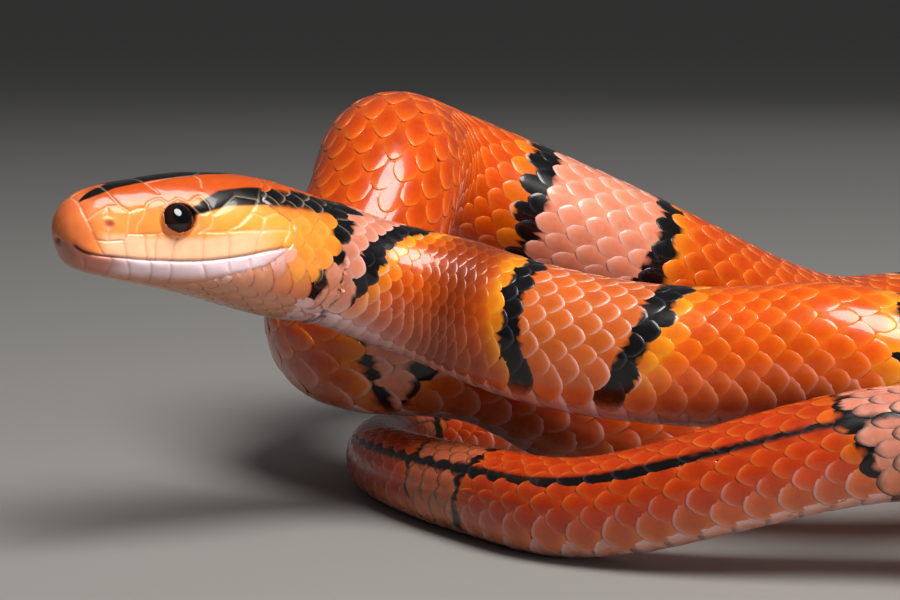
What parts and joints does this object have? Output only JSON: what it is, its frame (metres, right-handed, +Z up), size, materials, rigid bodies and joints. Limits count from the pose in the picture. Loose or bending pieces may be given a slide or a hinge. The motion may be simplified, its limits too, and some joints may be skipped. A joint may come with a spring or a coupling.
{
  "type": "red bamboo snake",
  "caption": "Life-size still model of a slender banded orange snake, head raised over loose coils lying on the floor.",
  "frame": {"origin": "middle of the coils' outline on the floor", "axes": "+X along the longest way across the coils, away from the end where the head is; +Z up; the snake's left side faces -Y"},
  "size_m": [0.1739, 0.128, 0.0385],
  "materials": {
    "skin": "glossy smooth scales",
    "eye": "wet gloss"
  },
  "bodies": {
    "root": {"head": "skin", "lower_jaw": "skin", "eye_left": "eye", "eye_right": "eye", "neck": "skin", "trunk_1": "skin", "trunk_2": "skin", "trunk_3": "skin", "trunk_4": "skin", "trunk_5": "skin", "trunk_6": "skin", "trunk_7": "skin", "trunk_8": "skin", "tail_base": "skin", "tail_tip": "skin"}
  },
  "joints": []
}
